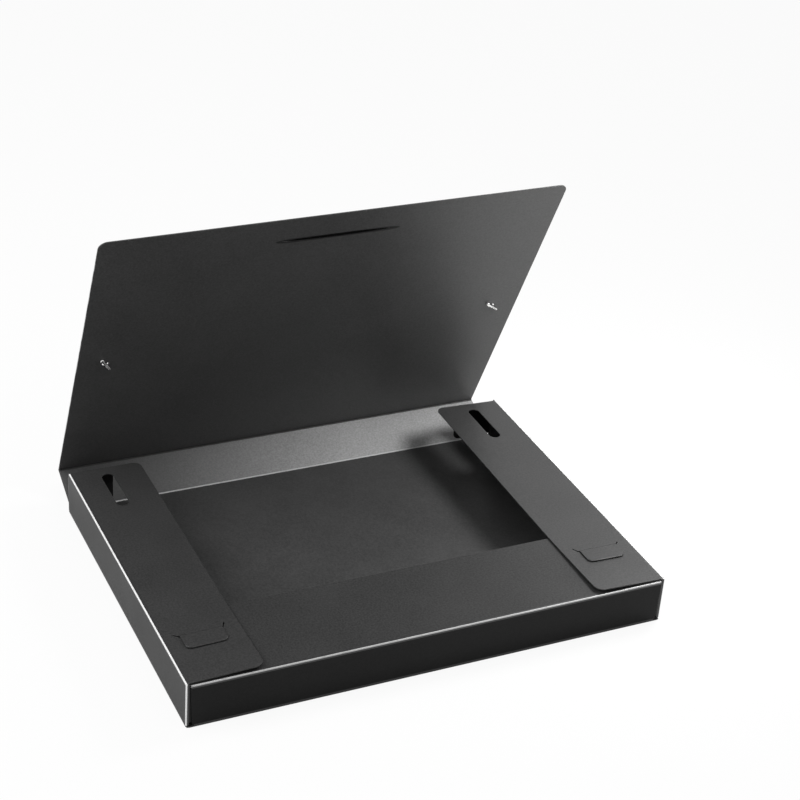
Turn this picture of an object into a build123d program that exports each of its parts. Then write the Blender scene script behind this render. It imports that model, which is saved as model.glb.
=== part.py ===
"""A4 document box with an elastic fastening, folded from one creased plastic sheet, lid open.

The frame stands on the middle of the box's underside: X runs along the long front edge, Y runs
from the front wall to the spine, and Z is up. Every panel hinges on a fold line that lies in the
middle of the sheet. The panel nearer the base ends there in a half-round bead, and the next panel
starts just past that bead, so a fold can open from a right angle to flat.
"""

import os
from math import cos, radians, sin, tan

from build123d import *

os.makedirs("parts", exist_ok=True)

# The sheet and its folds, in millimetres
sheet = 0.8
fold_gap = 0.1
layer_gap = 0.2
corner_relief = 1.2
panel_corner = 2.0

# Fold to fold sizes of the box
box_width = 330.0
box_depth = 250.0
wall_height = 31.5
spine_height = 34.5
lid_depth = 248.0
cover_inset = 1.5

# How far the cover stands open, in degrees: the spine from upright, the lid from the spine
spine_lean = 65.0
lid_bend = 90.0

# Side flaps, with the finger slot near the spine
flap_width = 50.0
flap_front_inset = 1.4
flap_rear_inset = 3.0
flap_corner = 6.0
finger_slot_length = 42.0
finger_slot_width = 8.5
finger_slot_from_wall = 23.7
finger_slot_from_rear = 32.0

# Front wall and its flap, which lies under the side flaps
front_flap_depth = 69.5
front_flap_inset = 1.5
front_flap_corner = 5.0
front_wall_top_inset = 2.0
front_wall_bottom_inset = 3.2

# Tongues of the front flap, which come up through slits and lock the side flaps down
tongue_width = 27.5
tongue_from_wall = 11.0
tongue_reach = 13.5
tongue_corner = 4.0
tongue_slope = 55.0
tongue_root_run = 3.0
tongue_window_gap = 0.8
slit_from_front = 46.5
slit_gap = 0.2
slit_end_gap = 0.6
slit_flare_width = 0.9
wall_side_flare = (2.7, 2.6)
inner_side_flare = (2.4, 4.6)

# Tabs folded inward from the ends of the side walls
rear_tab_length = 31.5
tab_corner = 4.0
tab_foot = 0.8
swing_gap = 0.4

# Lid details
lid_corner = 6.0
lid_slit_length = 85.0
lid_slit_width = 3.0
lid_slit_from_edge = 21.5
cord_hole_diameter = 4.4
cord_hole_from_side = 19.5
cord_hole_from_fold = 121.0

# Elastic cord and the metal tags crimped on its ends
cord_diameter = 2.4
cord_bend_radius = 2.2
cord_face_gap = 0.2
tag_length = 14.0
tag_width = 2.4
tag_thickness = 1.5
tag_face_gap = 0.1
tag_knob_diameter = 3.0
tag_edge_radius = 0.35
crimp_width = 0.8
crimp_depth = 0.3
crimp_spacing = 3.2
tag_angles = {"left": -58.0, "right": -39.0}

half_sheet = sheet / 2
fold_start = half_sheet + fold_gap
layer_step = sheet + layer_gap
half_width = box_width / 2
half_depth = box_depth / 2

# The front wall is one layer lower than the side walls, so that its flap lies beneath theirs
front_wall_height = wall_height - layer_step
bottom_fold = half_sheet
flap_fold = bottom_fold + wall_height
front_flap_fold = bottom_fold + front_wall_height

# The tabs stand one layer inside the front wall and the upright spine
front_tab_y = layer_step - half_depth
rear_tab_y = half_depth - layer_step - fold_gap
tab_height = wall_height - half_sheet - swing_gap


def upright_plane(x, y, along):
    """Plane of an upright panel: the fold runs `along`, local y is up, from the base's fold."""
    return Plane(origin=(x, y, bottom_fold), x_dir=along, z_dir=Vector(*along).cross(Vector(0, 0, 1)))


def rising_plane(y, z, elevation):
    """Plane of a cover panel: the fold runs along X, local y climbs at `elevation` from +Y."""
    angle = radians(elevation)
    return Plane(origin=(0, y, z), x_dir=(1, 0, 0), z_dir=(0, -sin(angle), cos(angle)))


def edge_plane(panel, at, outward):
    """Plane across a panel's edge at the local point `at`, with its x axis out of the panel."""
    origin = panel.from_local_coords((at[0], at[1], 0))
    out = panel.x_dir * outward[0] + panel.y_dir * outward[1]
    return Plane(origin=origin, x_dir=out, z_dir=panel.z_dir.cross(out))


def write(piece, name):
    """Label a finished piece and write it to its own file."""
    piece.part.label = name
    export_step(piece.part, f"parts/{name}.step")


def write_pair(piece, name):
    """Write a left-hand piece, and the right-hand one that mirrors it."""
    write(piece, f"left_{name}")
    with BuildPart() as twin:
        mirror(piece.part, about=Plane.YZ)
    write(twin, f"right_{name}")


# Section of the bead that finishes a panel along a fold
with BuildSketch() as half_round:
    with BuildLine():
        CenterArc((0, 0), half_sheet, -90, 180)
        Line((0, half_sheet), (0, -half_sheet))
    make_face()

# Base, with a bead on each of its four fold lines
base_plane = Plane((0, 0, bottom_fold))
with BuildPart() as base_panel:
    with BuildSketch(base_plane):
        Rectangle(box_width, box_depth)
    extrude(amount=half_sheet, both=True)
    for side in (-1, 1):
        with BuildSketch(edge_plane(base_plane, (side * half_width, 0), (side, 0))):
            add(half_round.sketch)
        extrude(amount=half_depth - corner_relief, both=True)
        with BuildSketch(edge_plane(base_plane, (0, side * half_depth), (0, side))):
            add(half_round.sketch)
        extrude(amount=half_width - corner_relief, both=True)
write(base_panel, "base_panel")

# Front wall: its ends draw in towards the base, and its top fold carries the front flap
front_wall_plane = upright_plane(0, -half_depth, (1, 0, 0))
wall_top_half = half_width - front_wall_top_inset
wall_bottom_half = half_width - front_wall_bottom_inset
with BuildPart() as front_wall:
    with BuildSketch(front_wall_plane):
        with BuildLine():
            Polyline(
                (-wall_bottom_half, fold_start),
                (wall_bottom_half, fold_start),
                (wall_top_half, front_wall_height),
                (-wall_top_half, front_wall_height),
                close=True,
            )
        face = make_face()
        fillet(face.vertices().group_by(Axis.Z)[0], panel_corner)
    extrude(amount=half_sheet, both=True)
    with BuildSketch(edge_plane(front_wall_plane, (0, front_wall_height), (0, 1))):
        add(half_round.sketch)
    extrude(amount=wall_top_half, both=True)
write(front_wall, "front_wall")

# Front flap, with the windows that its two tongues are cut from
front_flap_plane = Plane((0, -half_depth, front_flap_fold))
tongue_rise = 2 * layer_step
tongue_ramp = tongue_rise / tan(radians(tongue_slope))
slit_width = sheet / sin(radians(tongue_slope)) + sheet / tan(radians(tongue_slope)) + 2 * slit_gap
tongue_root_y = slit_from_front + tongue_ramp / 2 + tongue_root_run
tongue_tip_y = slit_from_front - tongue_ramp / 2 - tongue_reach
tongue_middle_x = half_width - tongue_from_wall - tongue_width / 2
window_length = tongue_root_y - tongue_tip_y + tongue_rise
with BuildPart() as front_flap:
    with BuildSketch(front_flap_plane) as front_flap_outline:
        with Locations((0, fold_start)):
            Rectangle(
                box_width - 2 * front_flap_inset,
                front_flap_depth - fold_start,
                align=(Align.CENTER, Align.MIN),
            )
        fillet(front_flap_outline.vertices().group_by(Axis.Y)[-1], front_flap_corner)
        for side in (-1, 1):
            with Locations((side * tongue_middle_x, tongue_root_y)):
                Rectangle(
                    tongue_width + 2 * tongue_window_gap,
                    window_length,
                    align=(Align.CENTER, Align.MAX),
                    mode=Mode.SUBTRACT,
                )
    extrude(amount=half_sheet, both=True)
write(front_flap, "front_flap")

# Lock tongue: flat at its root, up through the slit, then flat on top of the side flap
tongue_side_plane = Plane(
    origin=(-tongue_middle_x, -half_depth, front_flap_fold), x_dir=(0, 1, 0), z_dir=(1, 0, 0)
)
ramp_start = slit_from_front + tongue_ramp / 2
ramp_end = slit_from_front - tongue_ramp / 2
with BuildPart() as lock_tongue:
    with BuildSketch(tongue_side_plane):
        with BuildLine() as tongue_line:
            Polyline(
                (tongue_root_y, 0), (ramp_start, 0), (ramp_end, tongue_rise), (tongue_tip_y, tongue_rise)
            )
        trace(line_width=sheet)
    extrude(amount=tongue_width / 2, both=True)
    fillet(
        lock_tongue.edges().filter_by(Axis.Z).group_by(Axis.Y)[0],
        tongue_corner,
    )
write_pair(lock_tongue, "lock_tongue")

# Side wall: a bead on its top fold and on the upright fold of each tab
side_wall_plane = upright_plane(-half_width, 0, (0, 1, 0))
wall_length = rear_tab_y - front_tab_y
wall_middle = (rear_tab_y + front_tab_y) / 2
upright_middle = (fold_start + panel_corner + wall_height - corner_relief) / 2
upright_half = (wall_height - corner_relief - fold_start - panel_corner) / 2
with BuildPart() as side_wall:
    with BuildSketch(side_wall_plane) as side_wall_outline:
        with Locations((wall_middle, fold_start)):
            Rectangle(wall_length, wall_height - fold_start, align=(Align.CENTER, Align.MIN))
        chamfer(side_wall_outline.vertices().group_by(Axis.Y)[0], panel_corner)
    extrude(amount=half_sheet, both=True)
    with BuildSketch(edge_plane(side_wall_plane, (wall_middle, wall_height), (0, 1))):
        add(half_round.sketch)
    extrude(amount=wall_length / 2 - corner_relief, both=True)
    for end, tab_y in ((-1, front_tab_y), (1, rear_tab_y)):
        with BuildSketch(edge_plane(side_wall_plane, (tab_y, upright_middle), (end, 0))):
            add(half_round.sketch)
        extrude(amount=upright_half, both=True)
write_pair(side_wall, "wall")

# Front tab: a quarter round about the wall's fold, so it swings clear of the front flap
front_tab_plane = upright_plane(-half_width, front_tab_y, (1, 0, 0))
front_tab_radius = front_wall_height - half_sheet - swing_gap
with BuildPart() as front_tab:
    with BuildSketch(front_tab_plane) as front_tab_outline:
        Circle(front_tab_radius)
        with Locations((fold_start, tab_foot + panel_corner)):
            Rectangle(
                front_tab_radius,
                front_tab_radius,
                align=(Align.MIN, Align.MIN),
                mode=Mode.INTERSECT,
            )
        fillet(front_tab_outline.vertices().sort_by(Axis.X)[-1], tab_corner)
    extrude(amount=half_sheet, both=True)
write_pair(front_tab, "front_tab")

# Rear tab: stands just inside the upright spine, its free end tapered and rounded
rear_tab_plane = upright_plane(-half_width, rear_tab_y, (1, 0, 0))
with BuildPart() as rear_tab:
    with BuildSketch(rear_tab_plane) as rear_tab_outline:
        with BuildLine():
            Polyline(
                (fold_start, tab_foot + panel_corner),
                (rear_tab_length, tab_foot + panel_corner),
                (rear_tab_length, tab_height),
                (fold_start, tab_height),
                close=True,
            )
        make_face()
        fillet(rear_tab_outline.vertices().group_by(Axis.X)[-1], tab_corner)
    extrude(amount=half_sheet, both=True)
write_pair(rear_tab, "rear_tab")

# Side flap: the finger slot, and the flared slit that its tongue comes up through
side_flap_plane = Plane(origin=(-half_width, 0, flap_fold), x_dir=(0, 1, 0), z_dir=(0, 0, -1))
flap_front = flap_front_inset - half_depth
flap_rear = half_depth - flap_rear_inset
slit_y = slit_from_front - half_depth
slit_outer = tongue_from_wall - slit_end_gap
slit_inner = tongue_from_wall + tongue_width + slit_end_gap
with BuildPart() as side_flap:
    with BuildSketch(side_flap_plane) as side_flap_outline:
        with Locations(((flap_front + flap_rear) / 2, fold_start)):
            Rectangle(flap_rear - flap_front, flap_width - fold_start, align=(Align.CENTER, Align.MIN))
        fillet(side_flap_outline.vertices().group_by(Axis.Y)[-1], flap_corner)
        with Locations((half_depth - finger_slot_from_rear, finger_slot_from_wall)):
            SlotOverall(finger_slot_length, finger_slot_width, mode=Mode.SUBTRACT)
        with Locations((slit_y, (slit_outer + slit_inner) / 2)):
            Rectangle(slit_width, slit_inner - slit_outer, mode=Mode.SUBTRACT)
        with BuildLine():
            Line((slit_y, slit_outer), (slit_y + wall_side_flare[1], slit_outer - wall_side_flare[0]))
            Line((slit_y, slit_inner), (slit_y + inner_side_flare[1], slit_inner + inner_side_flare[0]))
        trace(line_width=slit_flare_width, mode=Mode.SUBTRACT)
    extrude(amount=half_sheet, both=True)
write_pair(side_flap, "side_flap")

# Spine, leaning back on the base's rear fold, with the lid's fold along its top
spine_plane = rising_plane(half_depth, bottom_fold, 90 - spine_lean)
cover_half = half_width - cover_inset
with BuildPart() as spine_panel:
    with BuildSketch(spine_plane) as spine_outline:
        with Locations((0, fold_start)):
            Rectangle(2 * cover_half, spine_height - fold_start, align=(Align.CENTER, Align.MIN))
        fillet(spine_outline.vertices().group_by(Axis.Y)[0], panel_corner)
    extrude(amount=half_sheet, both=True)
    with BuildSketch(edge_plane(spine_plane, (0, spine_height), (0, 1))):
        add(half_round.sketch)
    extrude(amount=cover_half, both=True)
write(spine_panel, "spine_panel")

# Lid, at a right angle to the spine, with its thumb slit and the two cord holes
lid_fold = spine_plane.from_local_coords((0, spine_height, 0))
lid_plane = rising_plane(lid_fold.Y, lid_fold.Z, 90 - spine_lean + lid_bend)
cord_hole_x = cover_half - cord_hole_from_side
lid_slit_y = lid_depth - lid_slit_from_edge
with BuildPart() as lid_panel:
    with BuildSketch(lid_plane) as lid_outline:
        with Locations((0, fold_start)):
            Rectangle(2 * cover_half, lid_depth - fold_start, align=(Align.CENTER, Align.MIN))
        fillet(lid_outline.vertices().group_by(Axis.Y)[-1], lid_corner)
        with BuildLine():
            for bow in (-lid_slit_width / 2, lid_slit_width / 2):
                ThreePointArc(
                    (-lid_slit_length / 2, lid_slit_y),
                    (0, lid_slit_y + bow),
                    (lid_slit_length / 2, lid_slit_y),
                )
        make_face(mode=Mode.SUBTRACT)
        with Locations((-cord_hole_x, cord_hole_from_fold), (cord_hole_x, cord_hole_from_fold)):
            Circle(cord_hole_diameter / 2, mode=Mode.SUBTRACT)
    extrude(amount=half_sheet, both=True)
write(lid_panel, "lid_panel")

# Elastic cord: across the lid's outer face, and through a hole at each end to its tag
cord_radius = cord_diameter / 2
tag_seat = half_sheet + tag_face_gap
cord_run = -(half_sheet + cord_face_gap + cord_radius)
cord_route_plane = Plane(
    origin=lid_plane.from_local_coords((0, cord_hole_from_fold, 0)),
    x_dir=lid_plane.x_dir,
    z_dir=-lid_plane.y_dir,
)
with BuildPart() as elastic_cord:
    with BuildLine(cord_route_plane) as cord_route:
        FilletPolyline(
            (-cord_hole_x, tag_seat),
            (-cord_hole_x, cord_run),
            (cord_hole_x, cord_run),
            (cord_hole_x, tag_seat),
            radius=cord_bend_radius,
        )
    with BuildSketch(Plane(origin=cord_route.line @ 0, z_dir=cord_route.line % 0)):
        Circle(cord_radius)
    sweep()
write(elastic_cord, "elastic_cord")

# Metal tags: a flattened tube with a rounded knob, crimped onto the cord's end
for side, place in (("left", -cord_hole_x), ("right", cord_hole_x)):
    turn = radians(tag_angles[side])
    tag_plane = Plane(
        origin=lid_plane.from_local_coords((place, cord_hole_from_fold, tag_seat)),
        x_dir=lid_plane.x_dir * cos(turn) + lid_plane.y_dir * sin(turn),
        z_dir=lid_plane.z_dir,
    )
    with BuildPart() as cord_tag:
        with BuildSketch(tag_plane):
            SlotOverall(tag_length, tag_width)
            with Locations((-(tag_length - tag_knob_diameter) / 2, 0)):
                Circle(tag_knob_diameter / 2)
        extrude(amount=tag_thickness)
        outward = Axis(tag_plane.origin, tag_plane.z_dir)
        fillet(cord_tag.faces().sort_by(outward)[-1].edges(), tag_edge_radius)
        with BuildSketch(tag_plane.offset(tag_thickness)):
            with Locations((-crimp_spacing / 2, 0), (crimp_spacing / 2, 0)):
                Rectangle(crimp_width, tag_width)
        extrude(amount=-crimp_depth, mode=Mode.SUBTRACT)
    write(cord_tag, f"{side}_cord_tag")

print(f"cord bends at {cord_bend_radius} mm, {elastic_cord.part.volume:.1f} mm3 of cord")
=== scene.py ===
# %% [markdown]
# # A folded plastic document box, lid open
#
# The box is one sheet of black polypropylene, die-cut, creased and folded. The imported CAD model
# already has every panel at its true size and place, so it is loaded first and never moved. The
# steps below add what a rigid model leaves out: rounded cut edges, pale living hinges, flaps that
# spring up a little, a braided elastic, and a finish for each surface.

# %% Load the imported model
from math import cos, pi, radians, sin, tan

import bmesh
import bpy
import numpy as np
from mathutils import Matrix, Vector


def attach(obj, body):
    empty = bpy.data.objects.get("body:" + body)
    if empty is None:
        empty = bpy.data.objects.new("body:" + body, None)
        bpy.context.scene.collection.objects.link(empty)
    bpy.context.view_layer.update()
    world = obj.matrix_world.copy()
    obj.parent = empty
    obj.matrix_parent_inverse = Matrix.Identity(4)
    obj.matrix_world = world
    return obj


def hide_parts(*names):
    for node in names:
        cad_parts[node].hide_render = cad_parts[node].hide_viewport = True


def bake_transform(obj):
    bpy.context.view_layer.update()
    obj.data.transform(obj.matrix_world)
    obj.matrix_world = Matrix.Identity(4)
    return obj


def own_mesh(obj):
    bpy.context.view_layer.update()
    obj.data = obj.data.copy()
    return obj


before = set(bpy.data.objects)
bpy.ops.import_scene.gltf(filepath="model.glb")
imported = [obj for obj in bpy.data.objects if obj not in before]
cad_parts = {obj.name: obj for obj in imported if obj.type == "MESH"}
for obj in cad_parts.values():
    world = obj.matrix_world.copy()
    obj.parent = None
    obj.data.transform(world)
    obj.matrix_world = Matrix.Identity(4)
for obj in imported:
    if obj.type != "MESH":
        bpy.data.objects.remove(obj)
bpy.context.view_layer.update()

# %% [markdown]
# ## Sizes shared with the CAD model
#
# A script that dresses a model needs the same sizes as the model. They are stated once, in
# metres, in the frame of the CAD: X along the front edge, Y to the spine, Z up.

# %% Sizes
mm = 0.001
half_sheet = 0.4 * mm
half_width = 165 * mm
half_depth = 125 * mm
wall_top = 31.9 * mm
front_wall_top = 30.9 * mm
flap_width = 50 * mm
flap_front = -123.6 * mm
front_flap_edge = -55.5 * mm
spine_height = 34.5 * mm
spine_lean = radians(65)
cover_half = 163.5 * mm
slit_length = 85 * mm
slit_middle = 226.5 * mm
slit_width = 3 * mm

X, Y, Z = Vector((1, 0, 0)), Vector((0, 1, 0)), Vector((0, 0, 1))
spine_fold = Vector((0, half_depth, half_sheet))
spine_up = Vector((0, sin(spine_lean), cos(spine_lean)))
spine_normal = X.cross(spine_up)
lid_fold = spine_fold + spine_up * spine_height
lid_up = Vector((0, -cos(spine_lean), sin(spine_lean)))
lid_inward = X.cross(lid_up)
print("lid fold at", [round(v, 4) for v in lid_fold])

# %% [markdown]
# ## The camera
#
# The photograph was taken with a long lens from the front left, looking down by about thirty
# degrees. The lens and the place were worked out from the corners of the tray, and a camera is
# just a position and a turn, so both are written directly as a matrix.

# %% Camera
view_azimuth = radians(26.73)
view_elevation = radians(29.72)
view_roll = radians(4.44)
view_distance = 1310.75 * mm
view_slide = (28.74 * mm, 98.74 * mm)
view_target = Vector((0, 0, 15 * mm))
sensor_width = 36.0
focal_pixels = 1932.14
photo_pixels = 800

forward = Vector((
    sin(view_azimuth) * cos(view_elevation),
    cos(view_azimuth) * cos(view_elevation),
    -sin(view_elevation),
))
level = Vector((cos(view_azimuth), -sin(view_azimuth), 0))
upward = level.cross(forward)
across = level * cos(view_roll) + upward * sin(view_roll)
over = upward * cos(view_roll) - level * sin(view_roll)
place = view_target - forward * view_distance + across * view_slide[0] + over * view_slide[1]

camera_data = bpy.data.cameras.new("photo_camera")
camera_data.sensor_width = sensor_width
camera_data.lens = focal_pixels * sensor_width / photo_pixels
camera_data.clip_start = 0.05
camera = bpy.data.objects.new("photo_camera", camera_data)
camera.matrix_world = Matrix((
    (across.x, over.x, -forward.x, place.x),
    (across.y, over.y, -forward.y, place.y),
    (across.z, over.z, -forward.z, place.z),
    (0, 0, 0, 1),
))
bpy.context.scene.collection.objects.link(camera)
bpy.context.scene.camera = camera
print("lens", round(camera_data.lens, 2), "mm, from", [round(v, 3) for v in place])

# %% [markdown]
# ## Shader values as Python expressions
#
# A material is a graph of nodes. Wiring it by hand is slow to read, so a small class wraps one
# socket and turns + - * into Math nodes. A `Finish` is a material with one method that makes any
# other node.

# %% Shader helpers
def grey(value):
    """A colour of three equal parts."""
    return (value,) * 3


class Wire:
    """One shader value, with arithmetic that adds Math nodes to its material."""

    def __init__(self, finish, socket):
        self.finish, self.socket = finish, socket

    def __add__(self, other):
        return self.finish.maths("ADD", self, other)

    def __sub__(self, other):
        return self.finish.maths("SUBTRACT", self, other)

    def __rsub__(self, other):
        return self.finish.maths("SUBTRACT", other, self)

    def __mul__(self, other):
        return self.finish.maths("MULTIPLY", self, other)

    def __truediv__(self, other):
        return self.finish.maths("DIVIDE", self, other)

    __radd__ = __add__
    __rmul__ = __mul__

    def size(self):
        return self.finish.maths("ABSOLUTE", self)

    def between(self, low, high):
        """Smooth step: 0 below `low`, 1 above `high`."""
        settings = {"interpolation_type": "SMOOTHSTEP"}
        return self.finish.node("ShaderNodeMapRange", settings, {0: self, 1: low, 2: high})


class Finish:
    """A material made in code. `shader` is its Principled surface."""

    def __init__(self, name, colour, roughness, **constants):
        self.material = bpy.data.materials.new(name)
        self.material.use_nodes = True
        self.tree = self.material.node_tree
        self.shader = self.tree.nodes["Principled BSDF"]
        self.set("Base Color", (*colour, 1))
        self.set("Roughness", roughness)
        for label, value in constants.items():
            self.set(label.replace("_", " "), value)

    def set(self, label, value):
        """Give one socket of the surface a value or a wire."""
        socket = self.shader.inputs[label]
        if isinstance(value, Wire):
            self.tree.links.new(value.socket, socket)
        else:
            socket.default_value = value

    def node(self, kind, settings=None, inputs=None, output=0):
        """Add a node: its settings first, then its sockets' values or wires."""
        made = self.tree.nodes.new(kind)
        for label, value in (settings or {}).items():
            setattr(made, label, value)
        for key, value in (inputs or {}).items():
            if isinstance(value, Wire):
                self.tree.links.new(value.socket, made.inputs[key])
            else:
                made.inputs[key].default_value = value
        return Wire(self, made.outputs[output])

    def maths(self, operation, *values):
        return self.node("ShaderNodeMath", {"operation": operation}, dict(enumerate(values)))

    def place(self):
        """Object coordinates: the point on the piece, in metres in the CAD's frame."""
        return self.node("ShaderNodeTexCoord", output="Object")

    def axes(self, vector):
        """The three parts of a vector as separate values."""
        return [self.node("ShaderNodeSeparateXYZ", {}, {0: vector}, part) for part in range(3)]

    def noise(self, vector, feature, detail=2.0, rough=0.5):
        """Noise whose blobs are about `feature` metres across."""
        inputs = {"Vector": vector, "Scale": 1 / feature, "Detail": detail, "Roughness": rough}
        return self.node("ShaderNodeTexNoise", {}, inputs)

    def mix(self, share, one, other):
        """Mix two colours: `one` at share 0, `other` at share 1."""
        inputs = {0: share, 6: one if isinstance(one, Wire) else (*one, 1)}
        inputs[7] = other if isinstance(other, Wire) else (*other, 1)
        settings = {"data_type": "RGBA"}
        return self.node("ShaderNodeMix", settings, inputs, output=2)

    def bump(self, height):
        """Relief from a height in metres."""
        inputs = {"Height": height, "Distance": 1.0, "Strength": 1.0}
        self.set("Normal", self.node("ShaderNodeBump", {}, inputs))


# %% [markdown]
# ## The sheet's finish
#
# Calendered polypropylene sheet has a fine sand grain on its faces. It is nearly black, and most
# of what the eye sees is a broad, soft reflection. Three scales of variation carry that look: the
# sand grain as relief, a cloudy change in gloss where hands have rubbed it, and a very slight
# waviness that bends the reflections. Scuffs are long thin marks, so their noise is stretched.

# %% Sheet finish
grain_size = 1.3 * mm
grain_height = 0.012 * mm
cloud_size = 38 * mm
wave_size = 90 * mm
wave_height = 0.10 * mm
scuff_width, scuff_stretch, scuff_patch = 1.1 * mm, 0.03, 60 * mm
cloud_contrast, grain_contrast, scuff_contrast = 0.6, 3.2, 0.35
shade_spread, sheen_spread = 0.28, 0.22
# Painted sheen: the spine's inner face turns paler from left to right between these places.
sheen_from, sheen_to = -150 * mm, 65 * mm
# Painted highlight on the lid's cut edges, and painted shade in a lens round its slit.
edge_highlight_shade, painted_slit_shade = 0.30, 0.002
slit_shade_half_length, slit_shade_half_width = 44.5 * mm, 2.1 * mm


def sheet_finish(name, shade, roughness, gloss, grain=1.0, along=0, painted_sheen=None, edge=None):
    """Black sheet of one lightness. `gloss` is its specular level, `along` the scuffs' axis.

    A sheen triple (normal, point on the middle of the sheet, shade) paints a sheen on the face on
    the normal's side: it grows paler to the right, up to that shade. `edge` = half width of the
    lid:
    its cut side edges get a painted highlight, broken along their length, and painted shade darkens
    a lens round its slit. The lens is where (x / half length)^8 + (off / half width)^2 is under 1,
    with `off` measured from the slit.
    """
    finish = Finish(name, (shade, shade, shade * 1.01), roughness, **{"Specular_IOR_Level": gloss})
    spot = finish.place()
    speck = finish.noise(spot, grain_size, detail=3.0, rough=0.65)
    cloud = finish.noise(spot, cloud_size, detail=3.0)
    wave = finish.noise(spot, wave_size, detail=0.0)
    stretch = [1.0, 1.0, 1.0]
    stretch[along] = scuff_stretch
    long_spot = finish.node("ShaderNodeMapping", {}, {0: spot, "Scale": stretch})
    scuff = finish.noise(long_spot, scuff_width, detail=1.0).between(0.70, 0.80)
    scuff = scuff * finish.noise(spot, scuff_patch, detail=1.0).between(0.52, 0.70)
    lighter = (cloud - 0.5) * cloud_contrast + (speck - 0.5) * grain_contrast * grain
    lighter = lighter + scuff * scuff_contrast + 0.5
    dark, light = shade * (1 - shade_spread), shade * (1 + shade_spread)
    colour = finish.mix(lighter, grey(dark), grey(light))
    parts = finish.axes(spot)
    # Painted sheen: the inner face grows paler to the right, as if lit from that side.
    if painted_sheen:
        normal, middle, sheen_shade = painted_sheen
        depth = parts[1] * normal.y + parts[2] * normal.z - normal.dot(middle)
        dark, light = sheen_shade * (1 - sheen_spread), sheen_shade * (1 + sheen_spread)
        paler = finish.mix(lighter, grey(dark), grey(light))
        sheen = parts[0].between(sheen_from, sheen_to) * depth.between(0.1 * mm, 0.3 * mm)
        colour = finish.mix(sheen, colour, paler)
    if edge:
        # Painted highlight: a broken pale line along the lid's cut side edges.
        highlight_breaks = finish.noise(spot, 9 * mm, detail=3.0).between(0.42, 0.58)
        edge_highlight = parts[0].size().between(edge - 0.26 * mm, edge - 0.12 * mm) * highlight_breaks
        colour = finish.mix(edge_highlight, colour, grey(edge_highlight_shade))
        # Painted shade: a dark lens round the lid's slit.
        height = parts[1] * lid_up.y + parts[2] * lid_up.z - lid_fold.dot(lid_up)
        aside = parts[0] / slit_shade_half_length
        off = (height - slit_middle) / slit_shade_half_width
        squared = aside * aside
        slit_shade_mask = 1.0 - squared * squared * squared * squared - off * off
        colour = finish.mix(slit_shade_mask.between(0.0, 0.25), colour, grey(painted_slit_shade))
    finish.set("Base Color", colour)
    uneven = (cloud - 0.5) * 0.10 + (speck - 0.5) * 0.16 * grain + scuff * 0.08
    finish.set("Roughness", uneven + roughness)
    finish.bump(speck * (grain_height * grain) + wave * wave_height)
    return finish


outer_face = sheet_finish("satin_sheet_outside", 0.033, 0.42, 0.28, grain=1.0, along=0)
inward_face = sheet_finish("satin_sheet_front_flap", 0.034, 0.44, 0.14, grain=1.0, along=0)
# The walls and the front wall are the same sheet as the flaps; their darker colours are painted
# shade.
shaded_wall_face = sheet_finish("painted_shade_sheet_walls", 0.014, 0.38, 0.14, grain=0.6, along=1)
shaded_front_face = sheet_finish("painted_shade_sheet_front", 0.010, 0.36, 0.10, grain=0.5, along=0)
inner_face = sheet_finish("grained_sheet_inside", 0.043, 0.42, 0.35, grain=0.8, along=0)
# The spine's inner face gets a painted sheen, paler to the right.
spine_face = sheet_finish(
    "sheen_painted_sheet_spine", 0.032, 0.50, 1.0, along=0, painted_sheen=(spine_normal, spine_fold, 0.21)
)
# The lid gets a painted highlight on its cut side edges and painted shade round its slit.
cover_face = sheet_finish("grained_sheet_cover", 0.040, 0.42, 0.42, grain=1.0, edge=cover_half)
print("sheet finishes", [m.name for m in bpy.data.materials if "sheet" in m.name])

# %% [markdown]
# ## Panels with rounded cut edges
#
# A die leaves the cut edge of a soft sheet slightly rounded, and that rounding catches a thin line
# of light. The CAD solid has the right outline with sharp edges. A panel's mesh is copied and
# merged, its flat faces are made whole again, and only the edges of its two large faces are
# beveled. A panel that bends is then cut into a lattice, because a flat face has no points inside.

# %% Panel pieces
edge_round = 0.22 * mm


def panel_mesh(node, normal, cuts=()):
    """Copy of a panel's solid with rounded rims, cut by planes at `cuts` = (axis, places)."""
    work = bmesh.new()
    work.from_mesh(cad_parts[node].data)
    bmesh.ops.remove_doubles(work, verts=work.verts, dist=1e-6)
    bmesh.ops.dissolve_limit(work, angle_limit=radians(0.6), verts=work.verts, edges=work.edges)
    work.normal_update()
    rims = [
        edge for edge in work.edges
        if len(edge.link_faces) == 2
        and max(abs(face.normal.dot(normal)) for face in edge.link_faces) > 0.999
        and min(abs(face.normal.dot(normal)) for face in edge.link_faces) < 0.1
    ]
    bmesh.ops.bevel(
        work, geom=rims, offset=edge_round, segments=3, profile=0.5, affect="EDGES",
        clamp_overlap=True,
    )
    for axis, places in cuts:
        for at in places:
            whole = work.verts[:] + work.edges[:] + work.faces[:]
            bmesh.ops.bisect_plane(work, geom=whole, plane_co=axis * float(at), plane_no=axis)
    bmesh.ops.triangulate(work, faces=[face for face in work.faces if len(face.verts) > 4])
    return work


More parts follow.
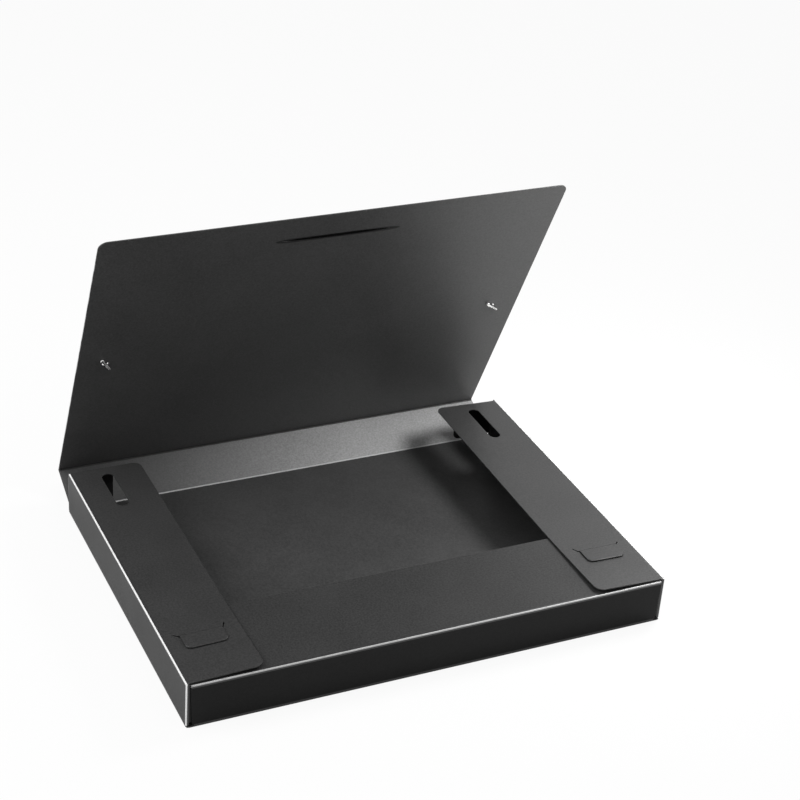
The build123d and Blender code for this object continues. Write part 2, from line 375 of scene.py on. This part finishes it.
def show_panel(name, work, finish, node, body, bend=None):
    """Finish a panel: displace its points with `bend`, shade it, and put it on its body.

    Each point's normal is the mean of its faces' normals weighted by their areas, so the large
    faces stay even and only the rounded rim turns.
    """
    mesh = bpy.data.meshes.new(name)
    work.to_mesh(mesh)
    work.free()
    if bend is not None:
        points = np.empty(len(mesh.vertices) * 3)
        mesh.vertices.foreach_get("co", points)
        mesh.vertices.foreach_set("co", bend(points.reshape(-1, 3)).ravel())
    mesh.update()
    facing, area = np.empty(len(mesh.polygons) * 3), np.empty(len(mesh.polygons))
    sides, point = np.empty(len(mesh.polygons), int), np.empty(len(mesh.loops), int)
    mesh.polygons.foreach_get("normal", facing)
    mesh.polygons.foreach_get("area", area)
    mesh.polygons.foreach_get("loop_total", sides)
    mesh.loops.foreach_get("vertex_index", point)
    pull = facing.reshape(-1, 3) * area[:, None]
    leaning = np.zeros((len(mesh.vertices), 3))
    np.add.at(leaning, point, np.repeat(pull, sides, axis=0))
    leaning /= np.linalg.norm(leaning, axis=1, keepdims=True)
    mesh.shade_smooth()
    mesh.normals_split_custom_set_from_vertices(leaning.tolist())
    piece = bpy.data.objects.new(name, mesh)
    bpy.context.scene.collection.objects.link(piece)
    mesh.materials.append(finish.material)
    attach(piece, body)
    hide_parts(node)
    return piece


panels = [
    ("base_panel", "tray", Z, inner_face),
    ("front_wall", "tray", Y, shaded_front_face),
    ("front_flap", "tray", Z, inward_face),
    ("left_wall", "left_side", X, shaded_wall_face),
    ("right_wall", "right_side", X, shaded_wall_face),
    ("left_front_tab", "left_side", Y, shaded_wall_face),
    ("right_front_tab", "right_side", Y, shaded_wall_face),
    ("left_rear_tab", "left_side", Y, shaded_wall_face),
    ("right_rear_tab", "right_side", Y, shaded_wall_face),
    ("spine_panel", "spine", spine_normal, spine_face),
    ("lid_panel", "lid", lid_inward, cover_face),
]
for node, body, normal, finish in panels:
    shown = show_panel(f"{node}_sheet", panel_mesh(node, normal), finish, node, body)
    print(shown.name, len(shown.data.vertices), "points")

# %% [markdown]
# ## Pieces made from a grid of points
#
# The lip, the hinges, the elastic and the tags are all grids of points worked out as arrays. A grid
# becomes a piece in the same few steps each time, so they are one function. A ring of points
# carried along a path also needs the same faces each time: quads round it, and a cap at each end.

# %% Grid helpers
def ring_quads(rings, around):
    """Quads of a tube: point (i, j) joins (i, j + 1) and the same two points on ring i + 1."""
    i, j = np.meshgrid(np.arange(rings - 1), np.arange(around), indexing="ij")
    beside = (j + 1) % around
    near, far = i * around, (i + 1) * around
    return np.stack([near + j, near + beside, far + beside, far + j], -1).reshape(-1, 4).tolist()


def ring_caps(rings, around):
    """The two faces that close a tube's ends."""
    return [list(range(around))[::-1], list(range((rings - 1) * around, rings * around))]


def grid_piece(name, points, faces, finish, merge=False, sharp=None, ridge=None):
    """Object from a grid of points, smooth, with its faces turned outwards.

    `merge` joins points that coincide, `sharp` keeps edges steeper than that angle, and `ridge` is
    one value a point for the material to read.
    """
    mesh = bpy.data.meshes.new(name)
    mesh.from_pydata(points.reshape(-1, 3).tolist(), [], faces)
    if ridge is not None:
        values = mesh.attributes.new("ridge", "FLOAT", "POINT").data
        values.foreach_set("value", ridge.astype(np.float32))
    work = bmesh.new()
    work.from_mesh(mesh)
    if merge:
        bmesh.ops.remove_doubles(work, verts=work.verts, dist=1e-7)
    bmesh.ops.recalc_face_normals(work, faces=work.faces)
    work.to_mesh(mesh)
    work.free()
    mesh.shade_smooth()
    if sharp:
        mesh.set_sharp_from_angle(angle=sharp)
    mesh.materials.append(finish.material)
    piece = bpy.data.objects.new(name, mesh)
    bpy.context.scene.collection.objects.link(piece)
    print(name, len(mesh.vertices), "points")
    return piece


# %% [markdown]
# ## The lip behind the lid's slit
#
# The slit near the lid's free edge shows dark, not the bright room behind it, so a shallow lip
# closes it on the outside, in the front wall's darker finish, which is painted shade. The lip is a
# lens-shaped dish: its depth is a smooth hump over the slit, and it meets the sheet all round.

# %% Slit lip
lip_depth, lip_margin, lip_skin, lip_seat = 1.1 * mm, 1.6 * mm, 0.25 * mm, -0.02 * mm
smooth_limit = radians(50)


def lip_surface(u, v, skin):
    """u runs along the slit and v across it, both -1 to 1, as a grid.

    Half width = slit half width x (1 - u^2) + margin x sqrt(1 - u^6). Depth below the outer face =
    lip depth x (1 - u^4) x (1 - v^2)^0.6 + skin.
    """
    along = u * (slit_length / 2 + lip_margin)
    margin = lip_margin * np.sqrt(np.clip(1 - u**6, 0, 1))
    across_slit = v * ((slit_width / 2) * (1 - u**2) + margin)
    depth = lip_depth * (1 - u**4) * (1 - v**2) ** 0.6 + skin
    return (
        np.array(lid_fold)
        + along[..., None] * np.array(X)
        + (slit_middle + across_slit)[..., None] * np.array(lid_up)
        - (half_sheet + depth)[..., None] * np.array(lid_inward)
    )


u, v = np.meshgrid(np.linspace(-1, 1, 61), np.linspace(-1, 1, 15), indexing="ij")
faces_out = lip_surface(u, v, lip_skin)
faces_in = lip_surface(u, v, lip_seat)
count, across_count = u.shape
i, j = np.meshgrid(np.arange(count - 1), np.arange(across_count - 1), indexing="ij")
quads = np.stack([
    i * across_count + j, (i + 1) * across_count + j,
    (i + 1) * across_count + j + 1, i * across_count + j + 1,
], -1).reshape(-1, 4)
shift = count * across_count
rim = np.concatenate([
    np.arange(across_count),
    np.arange(1, count) * across_count + across_count - 1,
    (count - 1) * across_count + np.arange(across_count - 2, -1, -1),
    np.arange(count - 2, 0, -1) * across_count,
])
next_rim = np.roll(rim, -1)
walls = np.stack([rim, next_rim, next_rim + shift, rim + shift], -1)
# The lip's colour is the front wall's darker finish, painted shade inside the slit.
lip = grid_piece(
    "lid_slit_lip",
    np.concatenate([faces_out.reshape(-1, 3), faces_in.reshape(-1, 3)]),
    np.concatenate([quads, quads[:, ::-1] + shift, walls]).tolist(),
    shaded_front_face,
    merge=True,
    sharp=smooth_limit,
)
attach(lip, "lid")
print("slit lip", round(2 * (slit_length / 2 + lip_margin) / mm, 1), "mm long")

# %% [markdown]
# ## Side flaps that spring up
#
# A fold in springy sheet never lies quite flat. The inner corners of the side flaps stand up by
# two millimetres, held down only by the lock tongue. The lift grows with the distance from the
# wall and towards the ends. Each flap is displaced by that formula on all its points at once. The
# lift fits under the closed lid.

# %% Lifted side flaps
corner_lift = {"left": 1.7 * mm, "right": 1.7 * mm}
edge_lift = {"left": 0.3 * mm, "right": 0.3 * mm}
rear_lift = {"left": 0.0, "right": 1.7 * mm}


def flap_lift(side, reach, along):
    """Height gained by a flap: a share of its reach from the wall, plus a curl at each end.

    lift = share x (edge + corner x front^1.3 x share^0.2 + rear x back^1.2), where share is the
    reach over the width, and front and back run from 0 at the front flap's free edge to 1 at the
    side flap's front and rear edges.
    """
    share = np.clip(reach / flap_width, 0, 1.02)
    front = np.clip((front_flap_edge - along) / (front_flap_edge - flap_front), 0, 1.05)
    back = np.clip((along - front_flap_edge) / (118 * mm - front_flap_edge), 0, 1.05)
    return share * (
        edge_lift[side] + corner_lift[side] * share**0.2 * front**1.3 + rear_lift[side] * back**1.2
    )


for side, sign in (("left", -1), ("right", 1)):
    def lifted(points, side=side, sign=sign):
        """The flap's points with the lift added to their height."""
        reach = half_width - sign * points[:, 0]
        points[:, 2] += flap_lift(side, reach, points[:, 1])
        return points

    columns = sign * (half_width - np.arange(4, 50, 4) * mm)
    rows = np.arange(-120, 121, 6) * mm
    lattice = [(X, columns), (Y, rows)]
    work = panel_mesh(f"{side}_side_flap", Z, lattice)
    flap = show_panel(
        f"{side}_side_flap_sheet", work, outer_face, f"{side}_side_flap", f"{side}_flap", lifted
    )
    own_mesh(flap)
    print(flap.name, "rises to", round(max(v.co.z for v in flap.data.vertices) / mm, 2), "mm")

# %% [markdown]
# ## Lock tongues
#
# The tongue is cut from the front flap and comes up through the slit, so its tip rides on the
# lifted flap while its root stays low. A smooth step in Y carries it from one to the other.

# %% Lock tongues
tongue_root = -74.8 * mm
tongue_through = -79.2 * mm

for side, sign in (("left", -1), ("right", 1)):
    def raised(points, side=side, sign=sign):
        """The tongue's points, raised by the flap's lift where they have come through the slit."""
        reach = half_width - sign * points[:, 0]
        share = np.clip((tongue_root - points[:, 1]) / (tongue_root - tongue_through), 0, 1)
        share = share * share * (3 - 2 * share)
        points[:, 2] += share * flap_lift(side, reach, points[:, 1])
        return points

    lattice = [(Y, np.arange(-94, -74, 1.0) * mm), (X, sign * np.arange(128, 154, 4) * mm)]
    work = panel_mesh(f"{side}_lock_tongue", X, lattice)
    tongue = show_panel(
        f"{side}_lock_tongue_sheet", work, outer_face, f"{side}_lock_tongue", "tray", raised
    )
    print(tongue.name, "tip at", round(max(v.co.z for v in tongue.data.vertices) / mm, 2), "mm")

# %% [markdown]
# ## Living hinges
#
# Each fold is a thinned strip of the same sheet. On the outside of the bend the plastic is
# stretched, polished and whitened, and a painted highlight on the rounded fold adds to that, so it
# shows as a thin pale line. A hinge is a small section carried along the fold: it leaves one panel,
# rounds the fold, and ends on the next. When both panels ride one body it rides that body;
# otherwise it stays where it is, on no body. Each point carries a value, `ridge`, from 0 at the
# strip's feet to 1 on top of the fold, and the material reads it to paint the ridge pale. The
# spine's fold also shows a thin pale line on its inside, partly a painted highlight too.

# %% Hinge finish
# Ridge colour: near white, for the stretched plastic's whitening and a painted highlight of the
# fold.
ridge_whitening_and_highlight, fold_shade = 0.88, 0.022
streak_size, fleck_size = 7 * mm, 1.2 * mm


def hinge_finish(name, whitening_and_highlight):
    """Dark sheet that turns pale on the ridge of the fold, unevenly along its length: partly stress
    whitening, partly a painted highlight.
    """
    finish = Finish(name, grey(fold_shade), 0.34, **{"Specular_IOR_Level": 0.5})
    across_fold = finish.node("ShaderNodeAttribute", {"attribute_name": "ridge"}, output="Fac")
    streak = finish.noise(finish.place(), streak_size, detail=4.0, rough=0.6)
    fleck = finish.noise(finish.place(), fleck_size, detail=1.0)
    uneven = streak.between(0.20, 0.48) * 0.30 + fleck * 0.10 + 0.62
    pale = across_fold.between(0.30, 0.68) * uneven
    finish.set("Base Color", finish.mix(pale * whitening_and_highlight, grey(fold_shade), grey(ridge_whitening_and_highlight)))
    finish.set("Roughness", 0.42 - pale * 0.10)
    return finish


# How much whitening and painted highlight each fold gets.
whitened_highlight_hinge = hinge_finish("whitened_hinge_painted_highlight", 1.0)
half_whitened_highlight_hinge = hinge_finish("half_whitened_hinge_painted_highlight", 0.55)
dull_hinge = hinge_finish("plain_hinge", 0.05)


# %% Hinge surface
fold_radius, fold_skin = 0.2 * mm, 0.10 * mm
foot_reach, shoulder_reach, line_reach = 1.4 * mm, 0.4 * mm, 0.45 * mm
proud = 0.02 * mm
end_places = np.array([0, 0.08, 0.25, 0.5]) * mm
end_round = 0.5 * mm
blend_reach = 0.6 * mm


def hinge(
    name, fold, along, reach, first, second, bodies, finish,
    radius=fold_radius, skin=fold_skin, line=None,
):
    """Strip that rounds a fold, `reach` to each side of its middle.

    `first` and `second` point from the fold along the two panels. The outer side leaves one panel
    just above its face, swells by `skin` into an arc about the fold, and comes down on the other
    panel. The inner side is a plain corner, or with `line` a narrow one of that ridge value, which
    shows as a pale line, partly stress whitening and partly a painted highlight. The last rings
    draw in, which rounds both ends.
    """
    first, second = first.normalized(), second.normalized()
    turn = first.angle(second)
    setback = radius * tan((pi - turn) / 2)
    centre = (first + second).normalized() * (radius / sin(turn / 2))
    low, high = (first * setback - centre).normalized(), (second * setback - centre).normalized()
    sweep = low.angle(high)
    flat, swollen = half_sheet + proud, half_sheet + proud + skin * 0.6
    foot, shoulder = setback + foot_reach, setback + shoulder_reach
    outer, ridge = [first * foot + low * flat, first * shoulder + low * swollen], [0.0, 0.2]
    for share in np.linspace(0, 1, 9):
        out = (low * sin((1 - share) * sweep) + high * sin(share * sweep)) / sin(sweep)
        outer.append(centre + out * (radius + half_sheet + skin))
        ridge.append(0.6 + 0.4 * sin(pi * share))
    outer += [second * shoulder + high * swollen, second * foot + high * flat]
    corner = (first + second).normalized() * (flat / sin(turn / 2))
    inner = foot if line is None else setback + line_reach
    section = np.array(outer + [second * inner - high * flat, corner, first * inner - low * flat])
    ridge = np.array(ridge + [0.2, 0.0] + [line or 0.0] * 3)
    middle = (section[0] + section[-1]) / 4 + (section[len(outer) - 1] + section[len(outer)]) / 4
    even_places = np.linspace(1.2 * mm, 2 * reach - 1.2 * mm, 39)
    places = np.concatenate([end_places, even_places, 2 * reach - end_places[::-1]]) - reach
    nearness = np.clip((reach - np.abs(places)) / end_round, 0, 1)
    drawn = 0.35 + 0.65 * np.sqrt(1 - (1 - nearness) ** 2)
    rings = middle + (section - middle)[None] * drawn[:, None, None]
    rings = np.array(fold) + rings + places[:, None, None] * np.array(along)
    count, size = len(places), len(section)
    faces = ring_quads(count, size) + ring_caps(count, size)
    strip = grid_piece(name, rings, faces, finish, sharp=smooth_limit, ridge=np.tile(ridge, count))
    if bodies[0] == bodies[1]:
        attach(strip, bodies[0])
    else:
        start, end = Vector(fold) + first * blend_reach, Vector(fold) + second * blend_reach
        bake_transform(strip)
    return strip


# %% Hinges on every fold
tab_front, tab_rear = -124.0 * mm, 123.9 * mm
for side, sign in (("left", -1), ("right", 1)):
    wall_x = sign * half_width
    inward = X * -sign
    hinge(
        f"{side}_flap_hinge_strip", (wall_x, -0.9 * mm, wall_top), Y, 123.3 * mm, -Z, inward,
        (f"{side}_side", f"{side}_flap"), whitened_highlight_hinge,
    )
    hinge(
        f"{side}_wall_hinge_strip", (wall_x, 0, half_sheet), Y, 122.8 * mm, Z, inward,
        (f"{side}_side", "tray"), dull_hinge,
    )
    # The left front corner gets the pale line and the right one not: a painted highlight where
    # light falls.
    hinge(
        f"{side}_front_tab_hinge_strip", (wall_x, tab_front, 16.6 * mm), Z, 15.6 * mm, Y, inward,
        (f"{side}_side", f"{side}_side"), whitened_highlight_hinge if side == "left" else dull_hinge,
    )
    hinge(
        f"{side}_rear_tab_hinge_strip", (wall_x, tab_rear, 15.6 * mm), Z, 14.4 * mm, -Y, inward,
        (f"{side}_side", f"{side}_side"), dull_hinge,
    )
hinge(
    "front_flap_hinge_strip", (0, -half_depth, front_wall_top), X, 162.8 * mm, -Z, Y,
    ("tray", "tray"), half_whitened_highlight_hinge,
)
hinge(
    "front_wall_hinge_strip", (0, -half_depth, half_sheet), X, 161.0 * mm, Z, Y,
    ("tray", "tray"), dull_hinge,
)
# The spine's fold has a pale line on its inside as well, partly a painted highlight.
hinge(
    "spine_hinge_strip", spine_fold, X, 162.6 * mm, -Y, spine_up, ("tray", "spine"), half_whitened_highlight_hinge,
    radius=1.2 * mm, skin=0.06 * mm, line=0.6,
)
hinge(
    "lid_hinge_strip", lid_fold, X, 163.2 * mm, -spine_up, lid_up, ("spine", "lid"), dull_hinge,
)

# %% [markdown]
# ## The elastic cord
#
# The fastening is a round elastic with a braided cover. It lies across the outside of the lid and
# comes through a hole near each side. Its line is a straight run with two quarter turns. Two sets
# of threads wind round it in opposite directions, and where they cross the surface swells, which
# gives the small diamonds of a braid.

# %% Braided elastic
cord_radius = 1.2 * mm
cord_bend = 2.2 * mm
cord_hole = 144 * mm
cord_height = 121 * mm
cord_top = 0.5 * mm
cord_run = -1.8 * mm
braid_pitch = 2.4 * mm
braid_threads = 8
braid_relief = 0.10 * mm
ring_spacing = 0.3 * mm


def cord_line(spacing):
    """Points and headings along the cord in the (x, inward) plane, spaced evenly.

    From each end: a stub straight out through the hole, a quarter turn of the bend radius, and the
    run to the middle. The second half mirrors the first.
    """
    straight = 2 * (cord_hole - cord_bend)
    stub = cord_top - cord_run - cord_bend
    quarter = cord_bend * pi / 2
    total = 2 * stub + 2 * quarter + straight
    s = np.linspace(0, total, int(total / spacing))
    half = np.minimum(s, total - s)
    angle = np.clip((half - stub) / cord_bend, 0, pi / 2)
    x = -cord_hole + cord_bend * (1 - np.cos(angle)) + np.clip(half - stub - quarter, 0, None)
    depth = cord_top - np.clip(half, 0, stub) - cord_bend * np.sin(angle)
    mirrored = s > total / 2
    x = np.where(mirrored, -x, x)
    heading = np.where(mirrored, pi / 2 - angle, angle - pi / 2)
    return s, x, depth, heading, total


s, x, depth, heading, cord_length = cord_line(ring_spacing)
theta = np.linspace(0, 2 * pi, 28, endpoint=False)
twist = 2 * pi * s[:, None] / braid_pitch
wind = braid_threads / 2 * theta[None]
diamond = np.abs(np.cos((wind + twist) / 2) * np.cos((wind - twist) / 2))
swell = cord_radius + braid_relief * (diamond - 0.75)
side_x, side_depth = -np.sin(heading)[:, None], np.cos(heading)[:, None]
local_x = x[:, None] + swell * np.cos(theta) * side_x
local_depth = depth[:, None] + swell * np.cos(theta) * side_depth
local_up = cord_height + swell * np.sin(theta)
grid = (
    np.array(lid_fold)
    + local_x[..., None] * np.array(X)
    + local_up[..., None] * np.array(lid_up)
    + local_depth[..., None] * np.array(lid_inward)
)
rings, around = grid.shape[:2]
woven = Finish("woven_elastic", (0.012, 0.012, 0.013), 0.72, **{"Specular_IOR_Level": 0.3})
yarn = woven.noise(woven.place(), 0.35 * mm, detail=2.0)
woven.set("Base Color", woven.mix(yarn, (0.006, 0.006, 0.007), (0.024, 0.024, 0.026)))
woven.set("Roughness", 0.62 + yarn * 0.2)
woven.bump(yarn * (0.02 * mm))

faces = ring_quads(rings, around) + ring_caps(rings, around)
cord_piece = grid_piece("braided_elastic", grid, faces, woven)
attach(cord_piece, "lid")
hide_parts("elastic_cord")
print("elastic", round(cord_length / mm, 1), "mm long,", rings, "rings")

# %% [markdown]
# ## The metal tags
#
# Each end of the elastic is held by a bright metal tag that is too long to slip back through the
# hole. It is a small tube, flattened, with a rounded knob at one end and crimped three times. Its
# width and its thickness are two curves along its length, and each section is a rounded oblong.

# %% Cord tags
tag_half = 7 * mm
tag_turn = {"left": radians(-58), "right": radians(-39)}
tag_height = 1.25 * mm
tag_end = 1.2 * mm
knob_at, knob_width = -5.5 * mm, 1.1 * mm
crimps_at, crimp_width = (1.0 * mm, 2.9 * mm, 4.8 * mm), 0.42 * mm
oblong_power = 2.6

bright_metal = Finish("bright_metal", (0.80, 0.80, 0.79), 0.24, Metallic=1.0)
spot = bright_metal.place()
tarnish = bright_metal.noise(spot, 2.2 * mm, detail=3.0)
bright_metal.set("Base Color", bright_metal.mix(tarnish, (0.58, 0.58, 0.57), (0.88, 0.88, 0.87)))
bright_metal.set("Roughness", 0.18 + tarnish * 0.18)
bright_metal.bump(bright_metal.noise(spot, 0.5 * mm, detail=2.0) * (0.02 * mm))


def tag_surface(side):
    """Grid of the tag: `along` runs down it and v round it.

    Half width is 0.8 mm, 1.3 mm at the knob, a little more at the crimps, and draws in at both
    ends as a quarter circle. Half thickness is 0.7 mm with the crimps pressed in. The section is a
    superellipse of power 2.6.
    """
    along = np.linspace(-1, 1, 97) * tag_half
    into_end = np.clip((np.abs(along) - (tag_half - tag_end)) / tag_end, 0, 1)
    ends = np.sqrt(1 - into_end**2)
    knob = np.exp(-((along - knob_at) / knob_width) ** 2)
    crimps = sum(np.exp(-((along - at) / crimp_width) ** 2) for at in crimps_at)
    wide = (0.80 + 0.50 * knob + 0.14 * crimps) * mm * ends
    thick = (0.70 + 0.05 * knob - 0.26 * crimps) * mm * ends
    v = np.linspace(0, 2 * pi, 24, endpoint=False)
    power = 2 / oblong_power
    c = np.sign(np.cos(v)) * np.abs(np.cos(v)) ** power
    d = np.sign(np.sin(v)) * np.abs(np.sin(v)) ** power
    turn = tag_turn[side]
    long_way = X * cos(turn) + lid_up * sin(turn)
    wide_way = lid_inward.cross(long_way)
    sign = -1 if side == "left" else 1
    seat = lid_fold + X * (sign * cord_hole) + lid_up * cord_height + lid_inward * tag_height
    return (
        np.array(seat)
        + along[:, None, None] * np.array(long_way)
        + (wide[:, None] * c)[..., None] * np.array(wide_way)
        + (thick[:, None] * d)[..., None] * np.array(lid_inward)
    )


for side in ("left", "right"):
    grid = tag_surface(side)
    rings, around = grid.shape[:2]
    tag = grid_piece(
        f"{side}_metal_tag", grid, ring_quads(rings, around), bright_metal, merge=True
    )
    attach(tag, "lid")
    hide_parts(f"{side}_cord_tag")

# %% [markdown]
# ## Studio
#
# The photograph has a pure white surround. The floor is a pale plane that shows as nearly white to
# the camera, and keeps a little of the box's shadow. Black plastic is drawn by what it mirrors, so
# reflections see a white room, while the light that falls on the box is a dimmer dome, a large soft
# lamp above, one at the left, and a small one close by at the right.

# %% Floor and backdrop
floor_size = 6.0
camera_glow, mirror_glow = 0.92, 0.3
floor_mesh = bpy.data.meshes.new("floor")
corners = [(x, y, 0) for x, y in ((-1, -1), (1, -1), (1, 1), (-1, 1))]
floor_mesh.from_pydata([tuple(floor_size * v for v in c) for c in corners], [], [(0, 1, 2, 3)])
floor = bpy.data.objects.new("floor", floor_mesh)
bpy.context.scene.collection.objects.link(floor)

pale = Finish("pale_floor", (0.80, 0.80, 0.80), 0.9, **{"Specular_IOR_Level": 0.0})
camera_ray = pale.node("ShaderNodeLightPath", output="Is Camera Ray")
glossy_ray = pale.node("ShaderNodeLightPath", output="Is Glossy Ray")
glow = pale.node("ShaderNodeEmission", {}, {"Color": (1, 1, 1, 1), "Strength": 1.0})
surface = Wire(pale, pale.shader.outputs[0])
share = camera_ray * camera_glow + glossy_ray * mirror_glow
seen = pale.node("ShaderNodeMixShader", {}, {0: share, 1: surface, 2: glow})
pale.tree.links.new(seen.socket, pale.tree.nodes["Material Output"].inputs[0])
floor_mesh.materials.append(pale.material)

room_light, room_seen = 0.45, 1.0
world = bpy.data.worlds.new("white_room")
bpy.context.scene.world = world
world.use_nodes = True
tree = world.node_tree
sky = tree.nodes["Background"]
light_path = tree.nodes.new("ShaderNodeLightPath")
seen_strength = tree.nodes.new("ShaderNodeMapRange")
seen_strength.inputs[3].default_value = room_light
seen_strength.inputs[4].default_value = room_seen
mirrored = tree.nodes.new("ShaderNodeMath")
mirrored.operation = "MAXIMUM"
tree.links.new(light_path.outputs["Is Camera Ray"], mirrored.inputs[0])
tree.links.new(light_path.outputs["Is Glossy Ray"], mirrored.inputs[1])
tree.links.new(mirrored.outputs[0], seen_strength.inputs[0])
tree.links.new(seen_strength.outputs[0], sky.inputs["Strength"])
sky.inputs["Color"].default_value = (1, 1, 1, 1)


# %% Lamps
def soft_lamp(name, at, aim, width, height, watts):
    """Rectangular soft box at `at`, turned to face `aim`."""
    data = bpy.data.lights.new(name, "AREA")
    data.shape = "RECTANGLE"
    data.size, data.size_y, data.energy = width, height, watts
    lamp = bpy.data.objects.new(name, data)
    lamp.location = at
    lamp.rotation_euler = (Vector(aim) - Vector(at)).to_track_quat("-Z", "Y").to_euler()
    bpy.context.scene.collection.objects.link(lamp)
    return lamp


soft_lamp("overhead", (-0.1, 0.1, 1.6), (0, 0.05, 0), 1.4, 1.4, 5)
soft_lamp("left", (-1.0, 0.15, 0.85), (0, 0.0, 0.02), 0.7, 0.7, 8.4)
soft_lamp("right_near", (0.30, -0.02, 0.30), (0.10, 0.10, 0.03), 0.12, 0.12, 1.5)
bpy.context.scene.view_settings.view_transform = "Standard"
